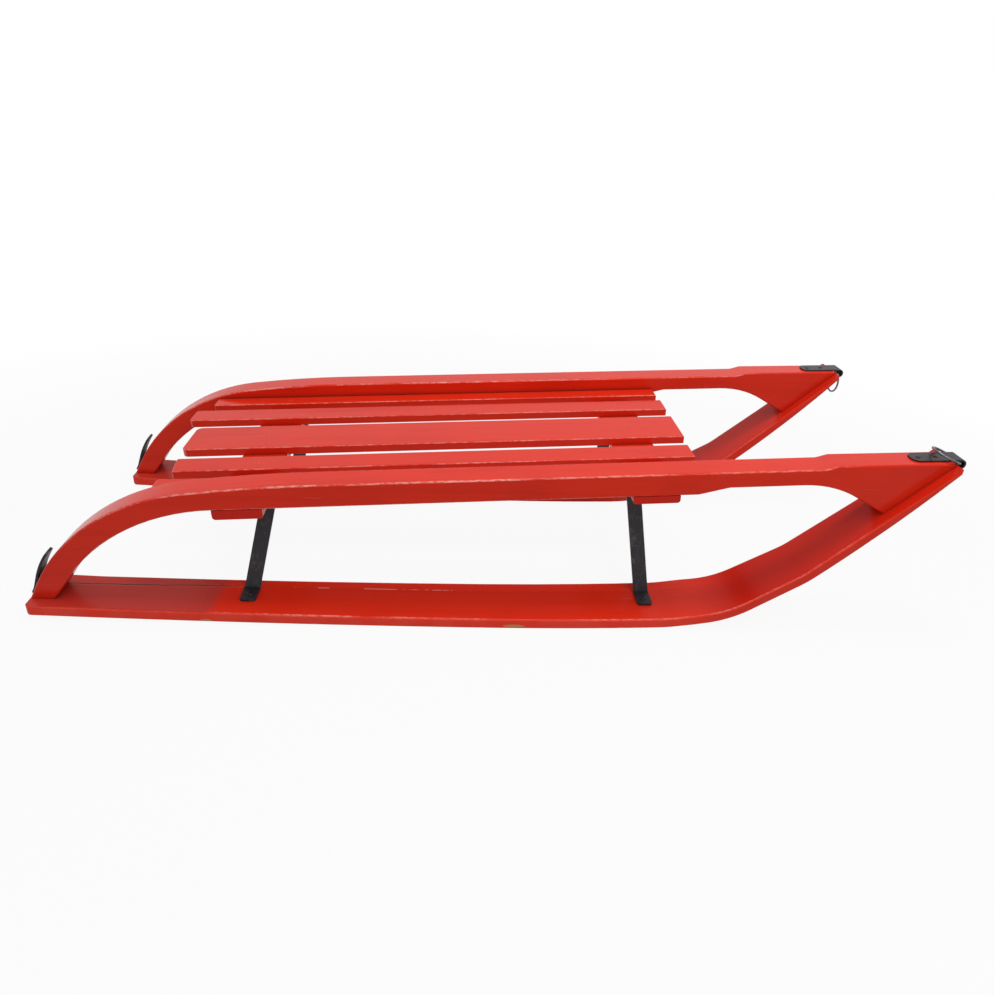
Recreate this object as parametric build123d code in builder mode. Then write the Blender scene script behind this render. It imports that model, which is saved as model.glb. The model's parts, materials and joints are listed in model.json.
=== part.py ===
"""Wooden snow sled with two ski-like runners, bent rails, a slatted seat and iron fittings.

Millimetres. +X is forward, +Y is to the sled's left, +Z is up. The runners' soles touch Z = 0.
"""
from build123d import *
import os
from math import asin, atan2, cos, degrees, radians, sin, tan

os.makedirs("parts", exist_ok=True)

# Side frames
frame_spacing = 341.0  # from the middle of one runner to the middle of the other
rest_x = -17.1  # where the sole touches the ground

# Runner, seen from the side
runner_thickness = 14.5
sole_rear_radius = 18000.0
sole_rear_reach = 500.0  # length of the gently rising rear part of the sole
tail_length = 67.0  # straight end under the bow's foot
sole_front_radius = 5500.0
sole_front_angle = 2.4
ease_radius = 250.0  # first, slow part of the upturn
ease_angle = 5.96
shovel_length = 42.3
bend_radius = 148.0  # quick part of the upturn
bend_angle = 24.1
ramp_length = 71.9
knee_radius = 110.0
knee_angle = 8.65
prow_radius = 1474.0
prow_angle = 7.75
tip_length = 24.0
tip_height = 6.5  # of the upright end of the tip
block_seat_taper = 5.2  # between the sole at the tip and the flat under the nose block
tail_round = 5.0
prow_round = 3.0

# Runner, seen from above
tail_width = 69.0
shovel_width = 86.0  # widest place, at the upturn
neck_width = 70.0
prow_width = 66.0
shovel_behind_tip = 306.0
neck_behind_tip = 96.0
shovel_round = 900.0
tail_corner_round = 6.0
prow_corner_round = 4.0
sole_edge_round = 2.5

# Rail, with the bow that ends it behind and the nose block that ends it in front
rail_width = 38.0
rail_slope = 3.86
rail_depth = 30.4
rail_edge_round = 2.5
bow_setback = 0.3  # from the runner's end to the bow's back
bow_ease_radius = 1700.0
bow_ease_angle = 5.0
bow_outer_radius = 253.5
bow_outer_angle = 53.5
bow_inner_radius = 240.0
bow_inner_angle = 52.6
bow_foot_length = 29.5  # along the top of the runner
thin_depth = 22.0  # the rail is shallower in front of the seat
thin_start_gap = 23.0  # from the front crossbar
thin_ramp = 38.0
nose_rise = 2.0  # of the block's top over the runner's tip
block_length = 154.5
block_slope = 3.3
block_step_length = 15.0
block_step_rise = 4.1
block_foot_length = 106.6  # along the top of the prow
window_front_angle = 28.0
window_front_round = 140.0
nose_setback = 1.5  # the block stops this far behind the prow's end
nose_round = 1.0

# Seat
crossbar_width = 60.0
crossbar_rear_thickness = 12.5
crossbar_front_thickness = 10.0
crossbar_round = 4.0
crossbar_bow_gap = 1.0  # from the start of the bow's curve
crossbar_foot_lead = 12.0  # the front legs' feet stand this far ahead of their crossbar
slat_thickness = 11.0
slat_round = 1.5
slat_rail_clearance = 0.5
slat_front_reach = 72.0  # of the slats, ahead of the front crossbar's middle
middle_slat_width = 74.0
inner_slat_width = 38.0
inner_slat_shift = 3.5  # outboard of the middle of the space between its neighbours
outer_slat_width = 28.0

# Legs of flat iron
leg_width = 20.0
leg_thickness = 3.2
leg_foot_outboard = 12.0  # foot's end, outboard of the runner's middle
leg_bend_inboard = 18.0  # where the leg rises, inboard of the runner's middle
leg_top_inboard = 58.0  # where it meets the crossbar
leg_flange_length = 28.0
leg_seat = 0.05
leg_corner_round = 4.0
leg_upturn_gap = 1.3  # from the front foot to the start of the upturn
leg_rear_foot_shift = -2.0  # forward from the middle of the rear crossbar
leg_rear_top_shift = 22.5
leg_front_top_shift = -13.5  # forward from the middle of the front crossbar

# Iron bands of the nose and of the heel
nose_band_width = 24.0
nose_band_thickness = 2.0
nose_band_length = 63.0  # from its rear end to the middle of the eye
nose_band_end_round = 10.0
eye_play = 0.62  # of the ring's wire in the eye
eye_tip_gap = 4.0  # from the runner's tip to the bore of the eye
eye_wrap_angle = 205.0
heel_band_width = 20.0
heel_band_thickness = 3.0
heel_band_lift = 1.5  # above the runner
heel_band_seat = 6.0  # length that lies on the bow
heel_band_bend_radius = 40.0
heel_band_bend_angle = 9.0  # away from the bow
heel_band_straight = 14.0
heel_band_arc_radius = 130.0
heel_band_arc_angle = 17.0
heel_band_end_round = 8.0

# Tow rings
ring_wire = 3.0
ring_outer_diameter = 40.0
ring_clearance = 0.2
ring_offset = 1.4  # of the wire from the middle of the eye, away from the tip

# Name and middle of the two side frames
SIDES = [("right", -frame_spacing / 2), ("left", frame_spacing / 2)]


def side_plane(y):
    """Upright plane along the sled: its own X is forward and its own Y is up."""
    return Plane(origin=(0, y, 0), x_dir=(1, 0, 0), z_dir=(0, -1, 0))


def tilted_plane(x, z, angle, y=0.0):
    """Plane across the sled that rises towards the front by an angle in degrees."""
    tilt = radians(angle)
    return Plane(origin=(x, y, z), x_dir=(cos(tilt), 0, sin(tilt)), z_dir=(-sin(tilt), 0, cos(tilt)))


def heading(angle, length=1.0):
    """Step of a given length in a side view, its angle measured from forward."""
    return Vector(length * cos(radians(angle)), length * sin(radians(angle)))


def arc_step(start_angle, radius, turn):
    """Step from one end of an arc to the other, for an arc that turns to its left."""
    return heading(start_angle + turn - 90, radius) - heading(start_angle - 90, radius)


def crossing(point, direction, other_point, other_direction):
    """Where two lines of a side view cross."""
    across = Vector(-other_direction.Y, other_direction.X)
    return point + direction * ((other_point - point).dot(across) / direction.dot(across))


# Side view of the runner. Angles add up from the ground contact to the tip.
sole_rear_angle = degrees(asin(sole_rear_reach / sole_rear_radius))
shovel_angle = sole_front_angle + ease_angle
ramp_angle = shovel_angle + bend_angle
tip_angle = ramp_angle + knee_angle + prow_angle
block_seat_angle = tip_angle - block_seat_taper
PROW_TOP = heading(block_seat_angle)


def long_edge(rise):
    """Draw one long edge of the runner, rise above the sole, up to the prow. Return its two ends."""
    rear = JernArc((rest_x, rise), (-1, 0), sole_rear_radius - rise, -sole_rear_angle)
    tail = Line(rear @ 1, rear @ 1 + heading(180 - sole_rear_angle, tail_length))
    front = JernArc((rest_x, rise), (1, 0), sole_front_radius - rise, sole_front_angle)
    ease = JernArc(front @ 1, front % 1, ease_radius - rise, ease_angle)
    shovel = Line(ease @ 1, ease @ 1 + heading(shovel_angle, shovel_length))
    bend = JernArc(shovel @ 1, shovel % 1, bend_radius - rise, bend_angle)
    ramp = Line(bend @ 1, bend @ 1 + heading(ramp_angle, ramp_length))
    knee = JernArc(ramp @ 1, ramp % 1, knee_radius - rise, knee_angle)
    return tail @ 1, knee @ 1


def runner_outline():
    """Draw the runner's closed side view. Return its corners from the tail to the tip."""
    tail_low, knee_low = long_edge(0)
    tail_high, knee_high = long_edge(runner_thickness)
    prow = JernArc(knee_low, heading(ramp_angle + knee_angle), prow_radius, prow_angle)
    tip_low = prow @ 1 + heading(tip_angle, tip_length)
    tip_high = tip_low + Vector(0, tip_height)
    block_heel = tip_high - PROW_TOP * block_foot_length
    Polyline(prow @ 1, tip_low, tip_high, block_heel, knee_high)
    Line(tail_high, tail_low)
    return tail_low, tail_high, tip_low, tip_high, block_heel


with BuildLine(mode=Mode.PRIVATE) as runner_lines:
    TAIL_LOW, TAIL_HIGH, TIP_LOW, TIP_HIGH, BLOCK_HEEL = runner_outline()

upturn_x = rest_x + sole_front_radius * sin(radians(sole_front_angle))
shovel_x = TIP_LOW.X - shovel_behind_tip
neck_x = TIP_LOW.X - neck_behind_tip


def runner_top(x):
    """Height and slope angle of the runner's upper face, between the bow and the upturn."""
    radius = sole_rear_radius if x < rest_x else sole_front_radius
    lean = asin((x - rest_x) / (radius - runner_thickness))
    return radius - (radius - runner_thickness) * cos(lean), degrees(lean)


for side, y in SIDES:
    with BuildPart() as runner:
        with BuildSketch(side_plane(y)) as profile:
            with BuildLine():
                runner_outline()
            make_face()
            fillet(profile.vertices().sort_by_distance(TAIL_LOW)[0], tail_round)
            fillet(profile.vertices().sort_by_distance(TIP_LOW)[0], prow_round)
        extrude(amount=shovel_width, both=True)
        with BuildSketch(Plane.XY.offset(-runner_thickness)) as plan:
            with BuildLine():
                Polyline(
                    (TAIL_LOW.X, y - tail_width / 2),
                    (shovel_x, y - shovel_width / 2),
                    (neck_x, y - neck_width / 2),
                    (TIP_LOW.X, y - prow_width / 2),
                    (TIP_LOW.X, y + prow_width / 2),
                    (neck_x, y + neck_width / 2),
                    (shovel_x, y + shovel_width / 2),
                    (TAIL_LOW.X, y + tail_width / 2),
                    close=True,
                )
            make_face()
            corners = plan.vertices().sort_by(Axis.X)
            fillet(corners[:2], tail_corner_round)
            fillet(corners[2:4], shovel_round)
            fillet(corners[-2:], prow_corner_round)
        extrude(amount=TIP_HIGH.Y + 2 * runner_thickness, mode=Mode.INTERSECT)
        sole_faces = runner.faces().filter_by(lambda face: face.normal_at().Z < -0.5)
        fillet(sole_faces.edges().filter_by(Axis.Y, reverse=True), sole_edge_round)
    runner.part.label = "runner_" + side
    export_step(runner.part, "parts/runner_" + side + ".step")

# Side view of the rail. Its height comes from the nose block, which stands on the runner's tip.
RAIL_FORWARD = heading(rail_slope)
BLOCK_FORWARD = heading(block_slope)
NOSE_FOOT = TIP_HIGH - PROW_TOP * nose_setback
STEP_TOP = Vector(TIP_HIGH.X - block_length, TIP_HIGH.Y + nose_rise - block_length * tan(radians(block_slope)))


def nose_height(x):
    """Height of the nose block's top."""
    return STEP_TOP.Y + (x - STEP_TOP.X) * tan(radians(block_slope))


def rail_top(x):
    """Point of the rail's straight top."""
    return Vector(x, STEP_TOP.Y - block_step_rise + (x - STEP_TOP.X) * tan(radians(rail_slope)))


def rail_under(x, depth=rail_depth):
    """Point of the rail's straight underside."""
    return rail_top(x) - Vector(0, depth)


NOSE_TOP = Vector(NOSE_FOOT.X - nose_setback, nose_height(NOSE_FOOT.X - nose_setback))
STEP_FOOT = rail_top(STEP_TOP.X - block_step_length)
WINDOW_VERTEX = crossing(rail_under(0, thin_depth), RAIL_FORWARD, BLOCK_HEEL, heading(-window_front_angle))

# The bow, from the rail's back down to its foot on the runner's tail
bow_turn = 180 + rail_slope
outer_shin_angle = bow_turn + bow_ease_angle + bow_outer_angle
inner_shin_angle = bow_turn + bow_inner_angle
TAIL_FORWARD = heading(-sole_rear_angle)
BACK_FOOT = TAIL_HIGH + TAIL_FORWARD * bow_setback
BELLY_FOOT = BACK_FOOT + TAIL_FORWARD * bow_foot_length
OUTER_STEP = arc_step(bow_turn, bow_ease_radius, bow_ease_angle)
OUTER_STEP += arc_step(bow_turn + bow_ease_angle, bow_outer_radius, bow_outer_angle)
INNER_STEP = arc_step(bow_turn, bow_inner_radius, bow_inner_angle)
BOW_OUTER_START = crossing(rail_top(0), RAIL_FORWARD, BACK_FOOT - OUTER_STEP, heading(outer_shin_angle))
BOW_INNER_START = crossing(rail_under(0), RAIL_FORWARD, BELLY_FOOT - INNER_STEP, heading(inner_shin_angle))
back_end = BACK_FOOT + heading(outer_shin_angle, runner_thickness)
belly_end = BELLY_FOOT + heading(inner_shin_angle, runner_thickness)

# Middles of the crossbars along the sled
crossbar_rear_x = BOW_INNER_START.X + crossbar_bow_gap + crossbar_width / 2
front_foot_x = upturn_x - leg_upturn_gap - leg_width / 2
crossbar_front_x = front_foot_x - crossbar_foot_lead
thin_start = crossbar_front_x + crossbar_width / 2 + thin_start_gap

tail_seat = tilted_plane(TAIL_HIGH.X, TAIL_HIGH.Y, -sole_rear_angle)
block_seat = tilted_plane(TIP_HIGH.X, TIP_HIGH.Y, block_seat_angle)

for side, y in SIDES:
    with BuildPart() as rail:
        with BuildSketch(side_plane(y)) as profile:
            with BuildLine():
                ease = JernArc(BOW_OUTER_START, heading(bow_turn), bow_ease_radius, bow_ease_angle)
                back = JernArc(ease @ 1, ease % 1, bow_outer_radius, bow_outer_angle)
                belly = JernArc(BOW_INNER_START, heading(bow_turn), bow_inner_radius, bow_inner_angle)
                Polyline(back @ 1, back_end, belly_end, belly @ 1)
                Polyline(BOW_OUTER_START, STEP_FOOT, STEP_TOP, NOSE_TOP, NOSE_FOOT, BLOCK_HEEL)
                window = FilletPolyline(
                    rail_under(thin_start + thin_ramp, thin_depth),
                    WINDOW_VERTEX,
                    BLOCK_HEEL,
                    radius=window_front_round,
                )
                Polyline(
                    BOW_INNER_START,
                    rail_under(thin_start),
                    rail_under(thin_start + thin_ramp, thin_depth),
                )
            make_face()
            fillet(profile.vertices().sort_by_distance(NOSE_TOP)[0], nose_round)
        extrude(amount=rail_width / 2, both=True)
        split(bisect_by=tail_seat, keep=Keep.TOP)
        joints = rail.faces().filter_by(tail_seat) + rail.faces().filter_by(block_seat)
        joint_edges = joints.edges()
        side_edges = rail.faces().filter_by(Axis.Y).edges()
        long_edges = [edge for edge in side_edges if edge not in joint_edges]
        fillet(long_edges, rail_edge_round)
    rail.part.label = "rail_" + side
    export_step(rail.part, "parts/rail_" + side + ".step")

# Crossbars, screwed under the rails, with their ends flush with the rails' outer faces
crossbar_length = frame_spacing + rail_width
CROSSBARS = [
    ("rear", crossbar_rear_x, crossbar_rear_thickness),
    ("front", crossbar_front_x, crossbar_front_thickness),
]
for end, x, thickness in CROSSBARS:
    seat = tilted_plane(x, rail_under(x).Y, rail_slope)
    with BuildPart(seat) as crossbar:
        Box(crossbar_width, crossbar_length, thickness, align=(Align.CENTER, Align.CENTER, Align.MAX))
        long_edges = crossbar.edges().filter_by(Axis.Y)
        fillet(long_edges.group_by(Axis(seat.origin, seat.z_dir))[0], crossbar_round)
    crossbar.part.label = "crossbar_" + end
    export_step(crossbar.part, "parts/crossbar_" + end + ".step")

# Slats of the seat. Columns: name, middle across the sled, width, overhang behind the middle of the
# rear crossbar, lead of the front end, slant of the rear end, radius of rear and of front corners
outer_slat_y = (frame_spacing - rail_width - outer_slat_width) / 2 - slat_rail_clearance
outer_slat_edge = outer_slat_y - outer_slat_width / 2
inner_slat_y = (middle_slat_width / 2 + outer_slat_edge) / 2 + inner_slat_shift
SLATS = [
    ("slat_outer_right", -outer_slat_y, outer_slat_width, 113.0, 0.0, 0.0, 3.0, 3.0),
    ("slat_inner_right", -inner_slat_y, inner_slat_width, 105.0, 0.0, 5.0, 3.0, 3.0),
    ("slat_middle", 0.0, middle_slat_width, 111.5, 2.5, 0.0, 9.0, 16.0),
    ("slat_inner_left", inner_slat_y, inner_slat_width, 132.0, 2.0, 0.0, 5.0, 3.0),
    ("slat_outer_left", outer_slat_y, outer_slat_width, 113.0, 0.0, 0.0, 3.0, 3.0),
]
for name, y, width, overhang, lead, slant, rear_round, front_round in SLATS:
    seat = tilted_plane(crossbar_rear_x, rail_under(crossbar_rear_x).Y, rail_slope, y)
    front = (crossbar_front_x - crossbar_rear_x + slat_front_reach) / cos(radians(rail_slope)) + lead
    with BuildPart() as slat:
        with BuildSketch(seat) as plan:
            with BuildLine():
                Polyline(
                    (slant / 2 - overhang, -width / 2),
                    (front, -width / 2),
                    (front, width / 2),
                    (-slant / 2 - overhang, width / 2),
                    close=True,
                )
            make_face()
            corners = plan.vertices().sort_by(Axis.X)
            fillet(corners[:2], rear_round)
            fillet(corners[-2:], front_round)
        extrude(amount=slat_thickness)
        fillet(slat.faces().sort_by(Axis(seat.origin, seat.z_dir))[-1].edges(), slat_round)
    slat.part.label = name
    export_step(slat.part, "parts/" + name + ".step")

# Legs of flat iron. Columns: end of the sled, middle of the foot, middle of the top, crossbar's thickness
LEGS = [
    (
        "rear",
        crossbar_rear_x + leg_rear_foot_shift,
        crossbar_rear_x + leg_rear_top_shift,
        crossbar_rear_thickness,
    ),
    ("front", front_foot_x, crossbar_front_x + leg_front_top_shift, crossbar_front_thickness),
]
for side, y in SIDES:
    inboard = 1 if y < 0 else -1
    for end, foot_x, top_x, bar_thickness in LEGS:
        foot_z, foot_slope = runner_top(foot_x)
        foot_length = leg_foot_outboard + leg_bend_inboard
        foot_seat = tilted_plane(foot_x, foot_z + leg_seat, foot_slope, y)
        top_z = rail_under(top_x).Y - bar_thickness / cos(radians(rail_slope)) - leg_seat
        top_seat = tilted_plane(top_x, top_z, rail_slope, y)
        with BuildPart() as leg:
            with BuildSketch(foot_seat):
                with Locations((0, inboard * (leg_bend_inboard - foot_length / 2))):
                    Rectangle(leg_width, foot_length)
            extrude(amount=leg_thickness)
            with BuildSketch(top_seat):
                with Locations((0, inboard * (leg_top_inboard + leg_flange_length / 2))):
                    Rectangle(leg_width, leg_flange_length)
            extrude(amount=-leg_thickness)
            with BuildSketch(foot_seat):
                with Locations((0, inboard * (leg_bend_inboard - leg_thickness / 2))):
                    Rectangle(leg_width, leg_thickness)
            with BuildSketch(top_seat):
                with Locations((0, inboard * (leg_top_inboard + leg_thickness / 2))):
                    Rectangle(leg_width, leg_thickness)
            loft()
            upright_edges = leg.edges().filter_by(Axis(foot_seat.origin, foot_seat.z_dir))
            foot_end = upright_edges.sort_by(Axis((0, y, 0), (0, -inboard, 0)))[-2:]
            fillet(foot_end, leg_corner_round)
        leg.part.label = "leg_" + end + "_" + side
        export_step(leg.part, "parts/leg_" + end + "_" + side + ".step")

# How the curved wire of a tow ring lies in its eye
ring_radius = (ring_outer_diameter - ring_wire) / 2
ring_lean = asin(nose_band_width / 2 / ring_radius)  # of the wire, at the edges of the eye
ring_sagitta = ring_radius * (1 - cos(ring_lean))
wire_half_breadth = ring_wire / 2 / cos(ring_lean)

# Nose bands: flat iron on the block's top, whose front end is rolled into an eye for the ring
eye_bore_radius = ring_sagitta / 2 + wire_half_breadth + eye_play
eye_outer_radius = eye_bore_radius + nose_band_thickness
eye_x = TIP_HIGH.X + eye_tip_gap + eye_bore_radius
EYE = Vector(eye_x, nose_height(eye_x)) - heading(block_slope + 90, eye_bore_radius)


def band_edge(wrap_radius):
    """Draw one face of the nose band, from its rear end to the end of the eye."""
    top = EYE + heading(block_slope + 90, wrap_radius)
    rear = top - BLOCK_FORWARD * nose_band_length
    Line(rear, top)
    eye = JernArc(top, BLOCK_FORWARD, wrap_radius, -eye_wrap_angle)
    return rear, eye @ 1


for side, y in SIDES:
    with BuildPart() as nose_band:
        with BuildSketch(side_plane(y)):
            with BuildLine():
                low_rear, low_end = band_edge(eye_bore_radius)
                high_rear, high_end = band_edge(eye_outer_radius)
                Line(low_rear, high_rear)
                Line(low_end, high_end)
            make_face()
        extrude(amount=nose_band_width / 2, both=True)
        rear_face = nose_band.faces().sort_by(Axis.X)[0]
        fillet(rear_face.edges().filter_by(Axis.Y, reverse=True), nose_band_end_round)
    nose_band.part.label = "nose_band_" + side
    export_step(nose_band.part, "parts/nose_band_" + side + ".step")

# Heel bands: spring iron whose foot lies on the back of the bow and whose upper end stands off it
shin_up = outer_shin_angle - 180


def heel_edge(rise):
    """Draw one face of the heel band, rise above the bow's back. Return its two ends."""
    foot = BACK_FOOT + heading(shin_up, heel_band_lift) + heading(shin_up + 90, rise)
    seat = Line(foot, foot + heading(shin_up, heel_band_seat))
    bend = JernArc(seat @ 1, seat % 1, heel_band_bend_radius - rise, heel_band_bend_angle)
    straight = Line(bend @ 1, bend @ 1 + (bend % 1) * heel_band_straight)
    arc = JernArc(straight @ 1, straight % 1, heel_band_arc_radius + rise, -heel_band_arc_angle)
    return foot, arc @ 1


for side, y in SIDES:
    with BuildPart() as heel_band:
        with BuildSketch(side_plane(y)):
            with BuildLine():
                inner_foot, inner_top = heel_edge(0)
                outer_foot, outer_top = heel_edge(heel_band_thickness)
                Line(inner_foot, outer_foot)
                Line(inner_top, outer_top)
            make_face()
        extrude(amount=heel_band_width / 2, both=True)
        top_face = heel_band.faces().sort_by(Axis.Z)[-1]
        fillet(top_face.edges().filter_by(Axis.Y, reverse=True), heel_band_end_round)
    heel_band.part.label = "heel_band_" + side
    export_step(heel_band.part, "parts/heel_band_" + side + ".step")

# Tow rings, each threaded through its eye. The left one hangs and the right one lies on the tip.
ring_play = eye_bore_radius - wire_half_breadth - ring_clearance
ring_reach = ring_radius + (ring_play**2 - ring_offset**2) ** 0.5 - ring_sagitta


def resting_angle(point):
    """Angle at which a ring that lies back from its eye comes to rest on a point of a side view."""
    away = point - EYE
    lift = ring_wire / 2 + ring_clearance - ring_offset
    return degrees(atan2(away.Y, away.X) - asin(lift / away.length))


RING_ANGLES = {"left": -90.0, "right": min(resting_angle(TIP_HIGH), resting_angle(NOSE_TOP))}
for side, y in SIDES:
    centre = EYE + heading(RING_ANGLES[side], ring_reach) + heading(RING_ANGLES[side] - 90, ring_offset)
    ring_normal = heading(RING_ANGLES[side] + 90)
    ring_plane = Plane(
        origin=(centre.X, y, centre.Y), x_dir=(0, 1, 0), z_dir=(ring_normal.X, 0, ring_normal.Y)
    )
    with BuildPart(ring_plane) as tow_ring:
        Torus(ring_radius, ring_wire / 2)
    tow_ring.part.label = "tow_ring_" + side
    export_step(tow_ring.part, "parts/tow_ring_" + side + ".step")
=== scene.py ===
import json
from math import cos, pi, radians, sin

import bmesh
import bpy
from bpy.props import FloatProperty, FloatVectorProperty, PointerProperty
from mathutils import Matrix, Vector
from mathutils.bvhtree import BVHTree


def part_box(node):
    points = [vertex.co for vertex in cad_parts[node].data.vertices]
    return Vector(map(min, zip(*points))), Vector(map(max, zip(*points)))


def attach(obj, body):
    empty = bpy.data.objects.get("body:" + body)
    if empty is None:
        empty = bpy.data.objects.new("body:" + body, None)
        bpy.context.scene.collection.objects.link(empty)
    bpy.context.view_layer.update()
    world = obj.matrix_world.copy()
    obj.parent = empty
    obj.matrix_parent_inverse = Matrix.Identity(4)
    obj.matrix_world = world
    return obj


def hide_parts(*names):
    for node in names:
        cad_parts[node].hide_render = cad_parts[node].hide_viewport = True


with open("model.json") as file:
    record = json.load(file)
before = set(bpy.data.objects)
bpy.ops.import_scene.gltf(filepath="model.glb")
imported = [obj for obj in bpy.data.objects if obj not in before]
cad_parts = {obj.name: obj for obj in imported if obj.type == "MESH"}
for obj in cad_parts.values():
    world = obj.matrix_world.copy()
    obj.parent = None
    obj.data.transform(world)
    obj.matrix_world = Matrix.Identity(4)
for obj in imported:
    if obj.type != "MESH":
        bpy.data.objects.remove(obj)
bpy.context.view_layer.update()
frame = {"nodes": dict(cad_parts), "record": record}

bl_info = {
    "name": "Snow sled finish",
    "version": (1, 0, 0),
    "blender": (4, 5, 0),
    "location": "View3D > Sidebar > Sled",
    "description": "Dresses a wooden snow sled in worn red gloss paint and dark iron",
    "category": "Object",
}

SIDES = {"right": -1, "left": 1}
X, Y, Z = range(3)
UP = (0.0, 0.0, 1.0)
DOWN = (0.0, 0.0, -1.0)
FORWARD = (1.0, 0.0, 0.0)

# Edges sharper than these stay sharp in the shading of the copies and of the heads
SHARP_ANGLE = radians(50.0)
HEAD_SHARP_ANGLE = radians(40.0)

# Faces that meet at less than this count as one flat face
FLAT_ANGLE = radians(0.2)

# Half-section of a nail or screw head, from its rim inwards: share of the radius, share of the height
HEAD_ROWS = ((1.0, 0.0), (1.0, 0.35), (0.92, 0.62), (0.74, 0.83), (0.5, 0.94), (0.25, 0.99))
HEAD_SIDES = 28
HEAD_SINK = 0.0001
SCREW_HEIGHT = 0.0017
SCREW_SLOT = 0.0011
SCREW_SLOT_FLOOR = 0.3
NAIL_HEIGHT = 0.0011
PAINTED_NAIL_HEIGHT = 0.0004

# Where the screws and nails sit
LEG_WIDTH = 0.020
LEG_SCREW_INSET = 0.013
HEIGHT_OVER_FEET = 0.06
HEIGHT_UNDER_FLANGES = 0.10
BEHIND_THE_SLED = -0.8
OVER_THE_SLED = 1.0
FOOT_SCREW_TURN = {"rear": 0.6, "front": 1.9}
TOP_SCREW_TURN = 1.1
NOSE_NAILS = (0.011, 0.034)  # behind the band's rear end
HEEL_NAILS = (0.16, 0.34)  # share of the band's height

# Where the runner's long top edges are rubbed and carry a painted sheen, along the sled: start, end, amount
RUNNER_WEAR = (
    (-0.57, -0.36, 0.45),
    (-0.34, -0.03, 1.0),
    (0.12, 0.27, 0.6),
    (0.29, 0.47, 0.9),
)

# Where the rail's long top edges are rubbed and carry a painted sheen: start, end, amount
RAIL_WEAR = (
    (-0.52, -0.42, 0.5),
    (-0.40, 0.02, 1.0),
    (0.05, 0.20, 0.55),
    (0.24, 0.42, 0.4),
)

# Bare chips low on the right runner's outer face: middle along the sled, height, half length, half height
CHIPS = (
    (-0.369, 0.0055, 0.0085, 0.0028),
    (0.022, 0.0050, 0.014, 0.0020),
    (-0.235, 0.0030, 0.005, 0.0016),
    (0.165, 0.0040, 0.004, 0.0018),
)

# Line along a runner's top, on its inner part: place across the sled, and its slant behind a bend
SEAM = 0.1484
SEAM_BEND = -0.313
SEAM_SLANT = 0.0275

# Fades along the sled, each from where it starts to where it ends
CRACK_REAR = (-0.568, -0.55)
CRACK_FRONT = (-0.37, -0.305)
SCRATCH_REAR = (-0.30, -0.25)
SCRATCH_FRONT = (-0.08, -0.02)
DULL_TAIL_FRONT = (-0.335, -0.315)
UPTURN_REAR = (0.24, 0.34)
WEAR_FADE_OUTSIDE = 0.03
WEAR_FADE_INSIDE = 0.02

# Fades across the sled
MIDDLE = (-0.01, 0.01)
RUNNER_OUTER_FACE = (-0.2, -0.19)
# Painted shade on the crossbars' ends, under the rails
CROSSBAR_END_SHADE = (0.184, 0.188)

PAINT_SPECULAR = 0.13
IRON_SPECULAR = 0.3

# Camera of the photograph: pixel sizes are those of its frame
IMAGE_WIDTH = 994
IMAGE_HEIGHT = 995
FOCAL_LENGTH = 740.0
OPTICAL_CENTRE = (520.6, 473.3)
SENSOR_WIDTH = 36.0
CAMERA_PLACE = (-0.0717, -0.97985, 0.6255)
CAMERA_YAW = radians(6.380255)
CAMERA_PITCH = radians(27.058154)
CAMERA_ROLL = radians(4.630953)

# Lamps: name, its power's setting, size, place, target
LAMPS = (
    ("lamp_overhead", "key_power", 0.55, (0.2, -0.14, 1.9), (0.0, 0.0, 0.0)),
    ("lamp_front", "front_power", 1.2, (0.5, -1.15, 1.7), (0.05, 0.0, 0.1)),
)

FLOOR_REACH = 9.0
FLOOR_WHITE_NEAR = 0.93  # share of plain white close to the sled; it rises to 1 far away


def body_of(node):
    """Name of the CAD body that holds a node."""
    for body, nodes in frame["record"]["behaviour"]["bodies"].items():
        if node in nodes:
            return body
    raise ValueError("no body holds " + node)


def settle(piece, node):
    """Let a piece ride with a CAD node's body."""
    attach(piece, body_of(node))


def add_object(name, data):
    """New object in the scene."""
    item = bpy.data.objects.new(name, data)
    bpy.context.scene.collection.objects.link(item)
    return item


def smooth_copy(node, name, material, rounding=0.0):
    """Stand a smooth-shaded copy in for a CAD node, on the same body."""
    source = frame["nodes"][node]
    mesh = source.data.copy()
    mesh.name = name
    work = bmesh.new()
    work.from_mesh(mesh)
    bmesh.ops.remove_doubles(work, verts=work.verts, dist=1e-6)
    if rounding:
        round_top(work, rounding)
    for face in work.faces:
        face.smooth = True
    for edge in work.edges:
        edge.smooth = len(edge.link_faces) != 2 or edge.calc_face_angle() < SHARP_ANGLE
    work.to_mesh(mesh)
    work.free()
    mesh.materials.clear()
    mesh.materials.append(material)
    piece = add_object(name, mesh)
    weighted = piece.modifiers.new("even_shading", "WEIGHTED_NORMAL")
    weighted.keep_sharp = True
    settle(piece, node)
    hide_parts(node)


def round_top(work, width):
    """Round the long edges between a runner's top and its sides."""
    bmesh.ops.dissolve_limit(work, angle_limit=FLAT_ANGLE, verts=work.verts, edges=work.edges)
    edges = [edge for edge in work.edges if edge.calc_length() > width and joins_top_and_side(edge)]
    bmesh.ops.bevel(
        work,
        geom=edges,
        offset=width,
        segments=3,
        profile=0.5,
        affect="EDGES",
        clamp_overlap=False,
    )


def joins_top_and_side(edge):
    """Whether an edge lies between a face that looks up and one that looks sideways."""
    if len(edge.link_faces) != 2:
        return False
    upper, side = sorted(edge.link_faces, key=lambda face: abs(face.normal.y))
    return upper.normal.z > 0.5 and abs(upper.normal.y) < 0.1 and abs(side.normal.y) > 0.9


def nail(name, node, start, direction, material, height=NAIL_HEIGHT):
    """Domed nail head where a straight line meets a node."""
    work = domed_head(bpy.context.scene.sled_iron.nail_radius, height)
    seat_head(work, name, node, start, direction, material)


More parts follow.
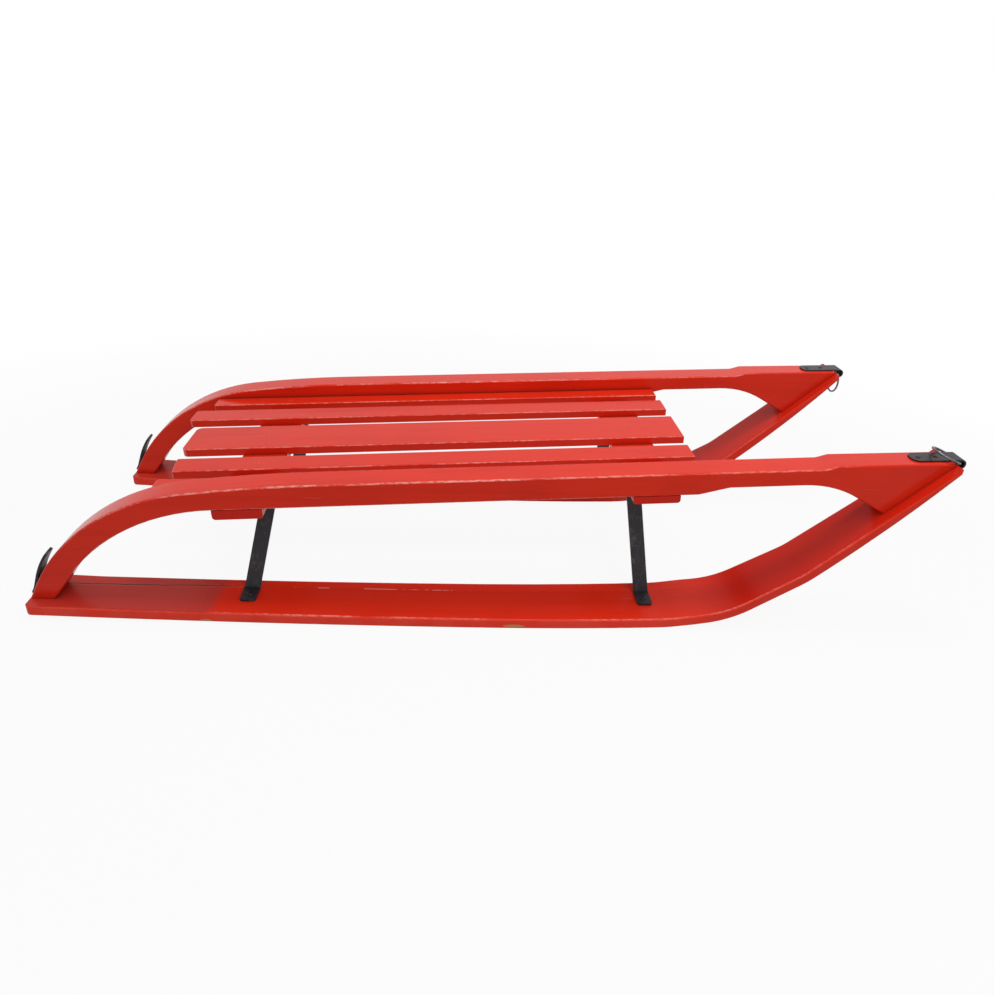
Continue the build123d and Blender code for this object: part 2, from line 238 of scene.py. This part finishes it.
def screw(name, node, start, direction, material, slot_turn):
    """Slotted screw head where a straight line meets a node."""
    work = domed_head(bpy.context.scene.sled_iron.screw_radius, SCREW_HEIGHT)
    cut_slot(work, SCREW_SLOT, SCREW_HEIGHT * SCREW_SLOT_FLOOR)
    seat_head(work, name, node, start, direction, material, slot_turn)


def domed_head(radius, height):
    """Mesh of a round head that stands on the origin."""
    work = bmesh.new()
    rings = []
    for reach, rise in HEAD_ROWS:
        ring = []
        for i in range(HEAD_SIDES):
            turn = 2.0 * pi * i / HEAD_SIDES
            place = (radius * reach * cos(turn), radius * reach * sin(turn), height * rise)
            ring.append(work.verts.new(place))
        rings.append(ring)
    for lower, upper in zip(rings, rings[1:]):
        for i in range(HEAD_SIDES):
            k = (i + 1) % HEAD_SIDES
            work.faces.new((lower[i], lower[k], upper[k], upper[i]))
    work.faces.new(rings[-1])
    return work


def cut_slot(work, width, floor):
    """Cut a straight screwdriver slot across a head, down to a floor."""
    for side in (-1.0, 1.0):
        bmesh.ops.bisect_plane(
            work,
            geom=work.verts[:] + work.edges[:] + work.faces[:],
            plane_co=(side * width / 2, 0.0, 0.0),
            plane_no=(1.0, 0.0, 0.0),
        )
    middle = [
        face
        for face in work.faces
        if abs(face.calc_center_median().x) < width / 2 and face.normal.z > -0.5
    ]
    bmesh.ops.delete(work, geom=middle, context="FACES")
    rim = [
        edge
        for edge in work.edges
        if len(edge.link_faces) == 1 and max(vert.co.z for vert in edge.verts) > floor
    ]
    grown = bmesh.ops.extrude_edge_only(work, edges=rim)["geom"]
    for vert in grown:
        if isinstance(vert, bmesh.types.BMVert):
            vert.co.z = floor
    work.normal_update()
    floor_edges = [item for item in grown if isinstance(item, bmesh.types.BMEdge)]
    bmesh.ops.contextual_create(work, geom=floor_edges)


def seat_head(work, name, node, start, direction, material, turn=0.0):
    """Turn a head's mesh into a piece that stands where a straight line meets a node."""
    for face in work.faces:
        face.smooth = True
    for edge in work.edges:
        edge.smooth = len(edge.link_faces) == 2 and edge.calc_face_angle() < HEAD_SHARP_ANGLE
    mesh = bpy.data.meshes.new(name)
    work.to_mesh(mesh)
    work.free()
    mesh.materials.append(material)
    point, normal = touch(node, start, direction)
    stand = normal.to_track_quat("Z", "Y").to_matrix().to_4x4() @ Matrix.Rotation(turn, 4, "Z")
    mesh.transform(Matrix.Translation(point - normal * HEAD_SINK) @ stand)
    settle(add_object(name, mesh), node)


def touch(node, start, direction):
    """Point and outward direction where a straight line meets a CAD node."""
    mesh = frame["nodes"][node].data
    corners = [vertex.co for vertex in mesh.vertices]
    tree = BVHTree.FromPolygons(corners, [tuple(face.vertices) for face in mesh.polygons])
    point, normal, _, _ = tree.ray_cast(Vector(start), Vector(direction))
    if point is None:
        raise ValueError("nothing to fasten on " + node)
    if normal.dot(Vector(direction)) > 0.0:
        normal = -normal
    return point, normal


class Value:
    """One output of a shader node. Sums on it add Math nodes."""

    def __init__(self, shader, socket):
        self.shader = shader
        self.socket = socket

    def __add__(self, other):
        return self.shader.math("ADD", self, other)

    def __radd__(self, other):
        return self.shader.math("ADD", other, self)

    def __sub__(self, other):
        return self.shader.math("SUBTRACT", self, other)

    def __rsub__(self, other):
        return self.shader.math("SUBTRACT", other, self)

    def __mul__(self, other):
        return self.shader.math("MULTIPLY", self, other)

    def __rmul__(self, other):
        return self.shader.math("MULTIPLY", other, self)

    def __truediv__(self, other):
        return self.shader.math("DIVIDE", self, other)

    def __rtruediv__(self, other):
        return self.shader.math("DIVIDE", other, self)

    def __pow__(self, other):
        return self.shader.math("POWER", self, other)

    def __rpow__(self, other):
        return self.shader.math("POWER", other, self)

    def __abs__(self):
        return self.shader.math("ABSOLUTE", self)

    def at_least(self, other):
        """The larger of two values."""
        return self.shader.math("MAXIMUM", self, other)

    def at_most(self, other):
        """The smaller of two values."""
        return self.shader.math("MINIMUM", self, other)

    def rise(self, low, high):
        """Rise smoothly from 0 at low to 1 at high."""
        return self.shader.node(
            "ShaderNodeMapRange",
            {"interpolation_type": "SMOOTHSTEP"},
            {"Value": self, "From Min": low, "From Max": high, "To Min": 0.0, "To Max": 1.0},
        )

    def fall(self, low, high):
        """Fall smoothly from 1 at low to 0 at high."""
        return 1.0 - self.rise(low, high)


class Shader:
    """Nodes of a material or a world, all made by one method."""

    def __init__(self, holder):
        holder.use_nodes = True
        self.holder = holder
        self.tree = holder.node_tree
        self.tree.nodes.clear()

    def node(self, kind, settings=None, inputs=None, output=0):
        """Add a node with its settings and the values or links of its inputs, and give one output."""
        node = self.tree.nodes.new(kind)
        for key, value in (settings or {}).items():
            setattr(node, key, value)
        for key, value in (inputs or {}).items():
            if isinstance(value, Value):
                self.tree.links.new(value.socket, node.inputs[key])
            else:
                node.inputs[key].default_value = value
        return Value(self, node.outputs[output]) if node.outputs else None

    def math(self, operation, *terms):
        return self.node("ShaderNodeMath", {"operation": operation}, dict(enumerate(terms)))

    def mix(self, factor, first, second):
        """Blend of two colours."""
        settings = {"data_type": "RGBA", "clamp_factor": True}
        return self.node("ShaderNodeMix", settings, {0: factor, 6: first, 7: second}, output=2)

    def blend(self, factor, first, second):
        """Blend of two whole shaders."""
        return self.node("ShaderNodeMixShader", inputs={0: factor, 1: first, 2: second})

    def place(self):
        """Position in the frame, in metres, as the object's own coordinates."""
        return self.node("ShaderNodeTexCoord", output=3)

    def axes(self, vector):
        """The three numbers of a vector."""
        split = self.node("ShaderNodeSeparateXYZ", inputs={0: vector}).socket.node
        return [Value(self, output) for output in split.outputs]

    def facing(self, axis):
        """How far the surface looks along an axis, from -1 to 1."""
        return self.axes(self.node("ShaderNodeTexCoord", output=1))[axis]

    def noise(self, place, scale, detail=3.0, roughness=0.5):
        inputs = {"Vector": place, "Scale": scale, "Detail": detail, "Roughness": roughness}
        return self.node("ShaderNodeTexNoise", inputs=inputs)

    def streaks(self, place, scale, offset=(0.0, 0.0, 0.0), detail=3.0, roughness=0.5):
        """Noise with a scale for each axis, drawn out along the axis with the smallest."""
        inputs = {"Vector": place, "Location": offset, "Scale": scale}
        return self.noise(self.node("ShaderNodeMapping", inputs=inputs), 1.0, detail, roughness)

    def turned(self, axis):
        """1 along edges that turn away from an axis, 0 on faces square to it or along it."""
        facing = abs(self.facing(axis))
        return facing.rise(0.1, 0.35) * facing.fall(0.9, 0.99)

    def along(self, x, spans):
        """Amount of wear and painted sheen along the sled, from a table of start, end and amount."""
        total = 0.0
        for start, end, amount in spans:
            begun = x.rise(start - WEAR_FADE_OUTSIDE, start + WEAR_FADE_INSIDE)
            unfinished = x.fall(end - WEAR_FADE_INSIDE, end + WEAR_FADE_OUTSIDE)
            total = begun * unfinished * amount + total
        return total

    def dirt(self, reach):
        """1 deep in corners where two pieces meet, 0 out in the open; used to paint shade there."""
        return 1.0 - self.node("ShaderNodeAmbientOcclusion", {"samples": 6}, {"Distance": reach}, output=1)

    def looked_at(self):
        """1 where the camera, a reflection or a see-through ray looks."""
        outputs = self.node("ShaderNodeLightPath").socket.node.outputs
        names = ("Is Camera Ray", "Is Glossy Ray", "Is Transmission Ray")
        camera, glossy, transmission = (Value(self, outputs[name]) for name in names)
        return camera.at_least(glossy.at_least(transmission))

    def close(self, kind, surface):
        """Finish the nodes with their output, and return the material or world."""
        self.node(kind, inputs={0: surface})
        return self.holder

    def surface(self, inputs):
        """Finish a material with one gloss shader."""
        return self.close("ShaderNodeOutputMaterial", self.node("ShaderNodeBsdfPrincipled", inputs=inputs))


def colour_setting(name, description, red, green, blue):
    return FloatVectorProperty(
        name=name,
        description=description,
        subtype="COLOR",
        size=4,
        min=0.0,
        max=1.0,
        default=(red, green, blue, 1.0),
    )


def length_setting(name, description, default, low, high):
    return FloatProperty(
        name=name, description=description, unit="LENGTH", min=low, max=high, default=default
    )


def roughness_setting(description, default):
    return FloatProperty(
        name="Roughness", description=description, subtype="FACTOR", min=0.0, max=1.0, default=default
    )


class SledPaint(bpy.types.PropertyGroup):
    """Red gloss paint on wood."""

    red: colour_setting("Red", "Colour of the sound paint", 0.74, 0.026, 0.007)
    # Dark red is thick or dirty paint at random, and also painted shade on the upturns and the crossbars'
    # ends.
    dark_red: colour_setting("Dark red", "Colour of thick or dirty paint", 0.58, 0.014, 0.004)
    # Dull red turns the rear of the runners' tops greyer and darker.
    dull_red: colour_setting("Dull red", "Colour of the runners' tails, dulled by boots", 0.50, 0.034, 0.022)
    # Lit red is painted light: it lightens the runners' sides and the inner strip of their tops.
    fresh_red: colour_setting("Fresh red", "Colour of the paint where nothing rubs it", 0.84, 0.040, 0.014)
    # Scuffed paint also paints a pale sheen along the rounded edges.
    scuff: colour_setting("Scuffed paint", "Colour of paint rubbed pale along the edges", 0.86, 0.34, 0.29)
    wood: colour_setting("Bare wood", "Colour of the wood where the paint has gone", 0.50, 0.27, 0.11)
    # This colour marks the crack, and paints shade into corners and where pieces meet.
    grime: colour_setting("Grime", "Colour of the dirt in cracks and corners", 0.06, 0.012, 0.010)
    gloss: roughness_setting("Roughness of the sound paint", 0.22)
    rounding: length_setting("Runner edge", "Rounding of the runners' long top edges", 0.003, 0.0, 0.006)


class SledIron(bpy.types.PropertyGroup):
    """Dark flat iron and steel wire."""

    black: colour_setting("Iron", "Colour of the dark iron", 0.026, 0.025, 0.029)
    band_black: colour_setting("Band iron", "Colour of the lacquer on the bands", 0.019, 0.011, 0.016)
    bright: colour_setting("Worn iron", "Colour of the iron where the lacquer is off", 0.34, 0.33, 0.35)
    gloss: roughness_setting("Roughness of the dark iron", 0.42)
    screw_radius: length_setting("Screw head", "Radius of the screw heads", 0.0042, 0.001, 0.01)
    nail_radius: length_setting("Nail head", "Radius of the nail heads", 0.003, 0.001, 0.01)


class SledStage(bpy.types.PropertyGroup):
    """Lamps and even light."""

    key_power: FloatProperty(
        name="Overhead lamp",
        description="Power of the lamp overhead",
        unit="POWER",
        min=0.0,
        default=12.5,
    )
    front_power: FloatProperty(
        name="Front lamp",
        description="Power of the large lamp in front, towards the sled's nose",
        unit="POWER",
        min=0.0,
        default=11.5,
    )
    sky: FloatProperty(
        name="Sky light",
        description="Strength of the even light from all round",
        min=0.0,
        default=0.42,
    )


def paint_layers(shader, wear_and_sheen, seed=0.0):
    """Colour, roughness and height of red paint, rubbed and given a painted sheen where a mask says, with
    painted shade in corners.
    """
    paint = bpy.context.scene.sled_paint
    place = shader.place()
    grain = shader.streaks(place, (7.0, 190.0, 190.0), (seed, 0.0, 0.0), 4.0, 0.6)
    strokes = shader.streaks(place, (2.5, 70.0, 70.0), (seed, 0.3, 0.0), 2.0)
    patches = shader.noise(place, 8.0)
    dark = patches.rise(0.42, 0.75) * 0.35 + strokes.rise(0.45, 0.75) * 0.3 + grain.rise(0.45, 0.8) * 0.15
    colour = shader.mix(dark, paint.red, paint.dark_red)

    flakes = shader.streaks(place, (130.0, 520.0, 520.0), (seed, 0.0, 0.7), 4.0, 0.62)
    runs = shader.streaks(place, (14.0, 40.0, 40.0), (seed, 0.5, 0.0))
    rubbed = wear_and_sheen * runs.rise(0.25, 0.55)
    bare = rubbed * (flakes + runs * 0.25).rise(0.6, 0.66)
    hairs = shader.streaks(place, (9.0, 900.0, 900.0), (seed, 0.0, 0.2), 2.0)
    scratches = hairs.rise(0.73, 0.77) * patches.rise(0.45, 0.6)
    # A pale line along the rubbed rounded edges: partly rubbed paint, partly painted sheen.
    colour = shader.mix(rubbed * 0.3, colour, paint.scuff)
    colour = shader.mix((bare + scratches * 0.5).at_most(1.0), colour, paint.scuff)

    # Darker where pieces meet and in corners: dark joints, and painted shade; undersides are left out.
    not_underneath = shader.facing(Z).rise(-0.9, -0.5)
    grime = shader.dirt(0.016).rise(0.25, 0.7) * not_underneath
    colour = shader.mix(grime * 0.85, colour, paint.grime)
    rough = bare * 0.25 + strokes * 0.08 + grime * 0.2 + (paint.gloss - 0.04)
    height = grain * 0.25 + patches * 0.5 - bare * 0.5 - scratches * 0.3
    return colour, rough, height


def finish_paint(shader, colour, rough, height):
    """Close a red paint with its gloss and relief."""
    bump = shader.node("ShaderNodeBump", inputs={"Strength": 0.3, "Distance": 0.0006, "Height": height})
    return shader.surface(
        {
            "Base Color": colour,
            "Roughness": rough,
            "Normal": bump,
            "Specular IOR Level": PAINT_SPECULAR,
        }
    )


def rail_paint():
    """Paint of the rails, rubbed pale along their long edges."""
    shader = Shader(bpy.data.materials.new("rail_paint"))
    along_sled = shader.axes(shader.place())[X]
    wear_and_sheen = shader.turned(Y) * shader.along(along_sled, RAIL_WEAR)
    return finish_paint(shader, *paint_layers(shader, wear_and_sheen, 0.31))


def seat_paint():
    """Paint of the slats and the crossbars, with painted shade on the crossbars' ends."""
    paint = bpy.context.scene.sled_paint
    shader = Shader(bpy.data.materials.new("seat_paint"))
    wear_and_sheen = shader.turned(Z).at_least(shader.turned(Y)) * 0.55
    colour, rough, height = paint_layers(shader, wear_and_sheen, 0.67)
    # Painted shade: the crossbars' ends under the rails turn dark red.
    bar_end_shade = abs(shader.axes(shader.place())[Y]).rise(*CROSSBAR_END_SHADE)
    colour = shader.mix(bar_end_shade, colour, paint.dark_red)
    return finish_paint(shader, colour, rough, height)


def runner_paint():
    """Paint of the runners: greyer tails, one long crack, a scratch and bare chips, with painted light on
    their sides and inner top strips, and painted shade on their upturns.
    """
    paint = bpy.context.scene.sled_paint
    shader = Shader(bpy.data.materials.new("runner_paint"))
    place = shader.place()
    x, y, z = shader.axes(place)
    wear_and_sheen = shader.turned(Y) * shader.along(x, RUNNER_WEAR)
    colour, rough, height = paint_layers(shader, wear_and_sheen)
    wander = shader.noise(place, 30.0)
    on_top = shader.facing(Z).rise(0.5, 0.9)
    not_on_top = 1.0 - on_top
    right_top = y.fall(*MIDDLE) * on_top
    seam = (SEAM_BEND - x).at_least(0.0) * SEAM_SLANT + SEAM

    # Painted light: lit red goes most on the runners' sides, less on the inner strip of the top, least on
    # the rest of the top.
    lit_inner_top = (abs(y) - seam).fall(-0.001, 0.001) * on_top
    colour = shader.mix(0.85 - on_top * (0.55 - lit_inner_top * 0.35), colour, paint.fresh_red)
    # Faint pale patches on every face that doesn't look up: some scuffing, and a painted sheen.
    colour = shader.mix(not_on_top * wander.rise(0.3, 0.7) * 0.06, colour, paint.scuff)
    # Painted shade on the upturns: dark red, full on the top, half on the sides, and less of it on the
    # rubbed edges.
    upturn_shade = x.rise(*UPTURN_REAR) * (on_top * 0.5 + 0.5)
    colour = shader.mix(upturn_shade * (1.0 - wear_and_sheen * 0.7), colour, paint.dark_red)

    # The rear of each runner's top turns greyer, darker and a little rougher, behind a slanted, wavering
    # line.
    dull = (x - y * 0.15 + wander * 0.02).fall(*DULL_TAIL_FRONT) * on_top
    colour = shader.mix(dull * 0.9, colour, paint.dull_red)

    from_crack = abs(y + seam + (wander - 0.5) * 0.005)
    cracked = x.rise(*CRACK_REAR) * x.fall(*CRACK_FRONT) * right_top
    crack = from_crack.fall(0.0007, 0.0013) * cracked
    shoulder = from_crack.fall(0.0013, 0.0028) * cracked
    colour = shader.mix(shoulder * 0.15, colour, paint.scuff)
    colour = shader.mix(crack, colour, paint.grime)

    beads = shader.streaks(place, (60.0, 10.0, 10.0)).rise(0.45, 0.55)
    scratched = x.rise(*SCRATCH_REAR) * x.fall(*SCRATCH_FRONT) * right_top
    scratch = abs(y + seam).fall(0.0006, 0.0012) * scratched * beads
    colour = shader.mix(scratch * 0.8, colour, paint.scuff)

    gone = 0.0
    for middle, level, half_length, half_height in CHIPS:
        from_middle = ((x - middle) / half_length) ** 2.0 + ((z - level) / half_height) ** 2.0
        gone = (from_middle + (wander - 0.5) * 2.2).fall(0.7, 1.0) + gone
    gone = gone * y.fall(*RUNNER_OUTER_FACE) * not_on_top
    colour = shader.mix(gone, colour, paint.wood)
    rough = rough + dull * 0.1 + gone * 0.3
    height = height - crack * 4.0 - gone * 1.5 - scratch * 0.5
    return finish_paint(shader, colour, rough, height)


def dark_iron(name, black, roughness, shine, bare=0.0, metal=0.3):
    """Dark lacquered iron, rubbed bright in places."""
    shader = Shader(bpy.data.materials.new(name))
    place = shader.place()
    specks = shader.noise(place, 480.0, 4.0, 0.6)
    patches = shader.noise(place, 70.0)
    # Faint lighter streaks drawn out upright: painted highlight.
    streaks = shader.streaks(place, (300.0, 300.0, 20.0))
    rubbed = (patches * 0.6 + specks * 0.4).rise(0.52, 0.72) * shine
    # Corners keep the dark colour: rubbing doesn't reach them, and this also paints shade there.
    unoccluded = 1.0 - shader.dirt(0.006).rise(0.3, 0.7) * 0.8
    shown = (rubbed + streaks.rise(0.5, 0.8) * 0.08 + bare) * unoccluded
    relief = {"Strength": 0.3, "Distance": 0.0003, "Height": specks + patches}
    return shader.surface(
        {
            "Base Color": shader.mix(shown, black, bpy.context.scene.sled_iron.bright),
            "Roughness": patches * 0.2 + specks * 0.1 + (roughness - 0.15),
            "Metallic": metal,
            "Specular IOR Level": IRON_SPECULAR,
            "Normal": shader.node("ShaderNodeBump", inputs=relief),
        }
    )


def floor_white():
    """Plain white to the eye, with the sled's shadow near it, and clear from below."""
    shader = Shader(bpy.data.materials.new("floor_white"))
    lit = shader.node("ShaderNodeBsdfDiffuse", inputs={"Color": (0.6, 0.6, 0.6, 1.0)})
    glow = shader.node("ShaderNodeEmission", inputs={"Strength": 1.0})
    clear = shader.node("ShaderNodeBsdfTransparent")
    x, y, _ = shader.axes(shader.place())
    far = ((x * 0.8) ** 2.0 + y ** 2.0).rise(0.3, 1.6)
    white = shader.looked_at() * (far * (1.0 - FLOOR_WHITE_NEAR) + FLOOR_WHITE_NEAR)
    from_below = shader.node("ShaderNodeNewGeometry", output=6)
    shown = shader.blend(from_below, shader.blend(white, lit, glow), clear)
    return shader.close("ShaderNodeOutputMaterial", shown)


def surroundings(sky):
    """White to the eye and in reflections, with a softer light on the sled."""
    shader = Shader(bpy.data.worlds.new("surroundings"))
    soft = shader.node("ShaderNodeBackground", inputs={"Color": (0.97, 0.98, 1.0, 1.0), "Strength": sky})
    white = shader.node("ShaderNodeBackground", inputs={"Color": (1.0, 1.0, 1.0, 1.0), "Strength": 1.0})
    return shader.close("ShaderNodeOutputWorld", shader.blend(shader.looked_at(), soft, white))


def build_camera(scene):
    """Camera at the photograph's place and angle."""
    forward = Vector(
        (
            sin(CAMERA_YAW) * cos(CAMERA_PITCH),
            cos(CAMERA_YAW) * cos(CAMERA_PITCH),
            -sin(CAMERA_PITCH),
        )
    )
    level = Vector((cos(CAMERA_YAW), -sin(CAMERA_YAW), 0.0))
    up = level.cross(forward)
    right = cos(CAMERA_ROLL) * level + sin(CAMERA_ROLL) * up
    above = cos(CAMERA_ROLL) * up - sin(CAMERA_ROLL) * level
    turn = Matrix((right, above, -forward)).transposed().to_4x4()
    data = bpy.data.cameras.new("camera")
    data.sensor_width = SENSOR_WIDTH
    data.lens = SENSOR_WIDTH * FOCAL_LENGTH / IMAGE_WIDTH
    data.shift_x = (IMAGE_WIDTH / 2 - OPTICAL_CENTRE[0]) / IMAGE_WIDTH
    data.shift_y = (OPTICAL_CENTRE[1] - IMAGE_HEIGHT / 2) / IMAGE_WIDTH
    data.clip_end = 50.0
    camera = add_object("camera", data)
    camera.matrix_world = Matrix.Translation(CAMERA_PLACE) @ turn
    scene.camera = camera


def build_lamps(stage):
    """Square lamps that look at the sled."""
    for name, power, size, spot, target in LAMPS:
        data = bpy.data.lights.new(name, "AREA")
        data.energy = getattr(stage, power)
        data.size = size
        lamp = add_object(name, data)
        lamp.location = spot
        lamp.rotation_euler = (Vector(target) - Vector(spot)).to_track_quat("-Z", "Y").to_euler()


def build_floor():
    """Wide flat floor under the runners."""
    work = bmesh.new()
    corners = ((-1, -1), (1, -1), (1, 1), (-1, 1))
    work.faces.new([work.verts.new((x * FLOOR_REACH, y * FLOOR_REACH, 0.0)) for x, y in corners])
    mesh = bpy.data.meshes.new("floor")
    work.to_mesh(mesh)
    work.free()
    mesh.materials.append(floor_white())
    floor = add_object("floor", mesh)


class BuildStage(bpy.types.Operator):
    """Set up the camera, the lamps, the floor and the white surroundings."""

    bl_idname = "sled.build_stage"
    bl_label = "Build the stage"

    def execute(self, context):
        scene = context.scene
        scene.view_settings.view_transform = "Standard"
        scene.world = surroundings(scene.sled_stage.sky)
        build_camera(scene)
        build_lamps(scene.sled_stage)
        build_floor()
        return {"FINISHED"}


class PaintRunners(bpy.types.Operator):
    """Paint the two runners and round their long top edges."""

    bl_idname = "sled.paint_runners"
    bl_label = "Paint the runners"

    def execute(self, context):
        material = runner_paint()
        rounding = context.scene.sled_paint.rounding
        for side in SIDES:
            smooth_copy("runner_" + side, "runner_painted_" + side, material, rounding)
        return {"FINISHED"}


class PaintRails(bpy.types.Operator):
    """Paint the two rails with their bows and nose blocks."""

    bl_idname = "sled.paint_rails"
    bl_label = "Paint the rails"

    def execute(self, context):
        material = rail_paint()
        for side in SIDES:
            smooth_copy("rail_" + side, "rail_painted_" + side, material)
        return {"FINISHED"}


class PaintSeat(bpy.types.Operator):
    """Paint the slats and the crossbars, with the painted nail heads that hold the slats."""

    bl_idname = "sled.paint_seat"
    bl_label = "Paint the seat"

    def execute(self, context):
        material = seat_paint()
        bars = [node for node in frame["nodes"] if node.startswith("crossbar_")]
        slats = [node for node in frame["nodes"] if node.startswith("slat_")]
        for node in slats + bars:
            smooth_copy(node, node + "_painted", material)
        for slat in slats:
            low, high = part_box(slat)
            for bar in bars:
                bar_low, bar_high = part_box(bar)
                above = ((bar_low[X] + bar_high[X]) / 2, (low[Y] + high[Y]) / 2, OVER_THE_SLED)
                nail("nail_" + slat + "_" + bar, slat, above, DOWN, material, PAINTED_NAIL_HEIGHT)
        return {"FINISHED"}


class FinishIron(bpy.types.Operator):
    """Give the legs, the bands and the rings their dark finish, with their screws and nails."""

    bl_idname = "sled.finish_iron"
    bl_label = "Finish the iron"

    def execute(self, context):
        iron = context.scene.sled_iron
        leg_iron = dark_iron("leg_iron", iron.black, iron.gloss, 0.2)
        band_iron = dark_iron("band_iron", iron.band_black, iron.gloss - 0.04, 0.1)
        ring_steel = dark_iron("ring_steel", iron.black, iron.gloss - 0.12, 0.6, bare=0.35, metal=0.8)
        for node in frame["nodes"]:
            if node.startswith("leg_"):
                smooth_copy(node, node + "_iron", leg_iron)
                screw_leg(node, leg_iron)
            elif node.startswith("nose_band_"):
                smooth_copy(node, node + "_iron", band_iron)
                nail_nose_band(node, band_iron)
            elif node.startswith("heel_band_"):
                smooth_copy(node, node + "_iron", band_iron)
                nail_heel_band(node, band_iron)
            elif node.startswith("tow_ring_"):
                smooth_copy(node, node + "_steel", ring_steel)
        return {"FINISHED"}


def screw_leg(node, material):
    """Screws through a leg's foot, from above, and through its top flange, from below."""
    _, end, side_name = node.split("_")
    side = SIDES[side_name]
    low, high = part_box(node)
    rear_x, front_x = low[X] + LEG_WIDTH / 2, high[X] - LEG_WIDTH / 2
    foot_x, top_x = (rear_x, front_x) if end == "rear" else (front_x, rear_x)
    outer_y, inner_y = (low[Y], high[Y]) if side < 0 else (high[Y], low[Y])
    over_foot = (foot_x, outer_y - side * LEG_SCREW_INSET, HEIGHT_OVER_FEET)
    under_top = (top_x, inner_y + side * LEG_SCREW_INSET, HEIGHT_UNDER_FLANGES)
    screw(node + "_foot_screw", node, over_foot, DOWN, material, FOOT_SCREW_TURN[end])
    screw(node + "_top_screw", node, under_top, UP, material, TOP_SCREW_TURN)


def nail_nose_band(node, material):
    """Two nails down through the flat of a nose band."""
    low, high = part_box(node)
    for number, behind in enumerate(NOSE_NAILS):
        above = (low[X] + behind, (low[Y] + high[Y]) / 2, OVER_THE_SLED)
        nail(node + "_nail_" + str(number), node, above, DOWN, material)


def nail_heel_band(node, material):
    """Two nails forward through the lower part of a heel band."""
    low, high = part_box(node)
    for number, share in enumerate(HEEL_NAILS):
        behind = (BEHIND_THE_SLED, (low[Y] + high[Y]) / 2, low[Z] + (high[Z] - low[Z]) * share)
        nail(node + "_nail_" + str(number), node, behind, FORWARD, material)


class SledPanel(bpy.types.Panel):
    """Lists the sled's steps in the sidebar."""

    bl_idname = "VIEW3D_PT_sled"
    bl_label = "Snow sled"
    bl_space_type = "VIEW_3D"
    bl_region_type = "UI"
    bl_category = "Sled"

    def draw(self, context):
        for step in STEPS:
            self.layout.operator(step.bl_idname)


GROUPS = {"sled_paint": SledPaint, "sled_iron": SledIron, "sled_stage": SledStage}
STEPS = (BuildStage, PaintRunners, PaintRails, PaintSeat, FinishIron)


def register():
    for name, group in GROUPS.items():
        bpy.utils.register_class(group)
        setattr(bpy.types.Scene, name, PointerProperty(type=group))
    for item in (*STEPS, SledPanel):
        bpy.utils.register_class(item)


def unregister():
    for item in reversed((*STEPS, SledPanel)):
        bpy.utils.unregister_class(item)
    for name, group in GROUPS.items():
        delattr(bpy.types.Scene, name)
        bpy.utils.unregister_class(group)


def main():
    register()
    for step in STEPS:
        getattr(bpy.ops.sled, step.bl_idname.split(".")[1])()


if __name__ == "__main__":
    main()
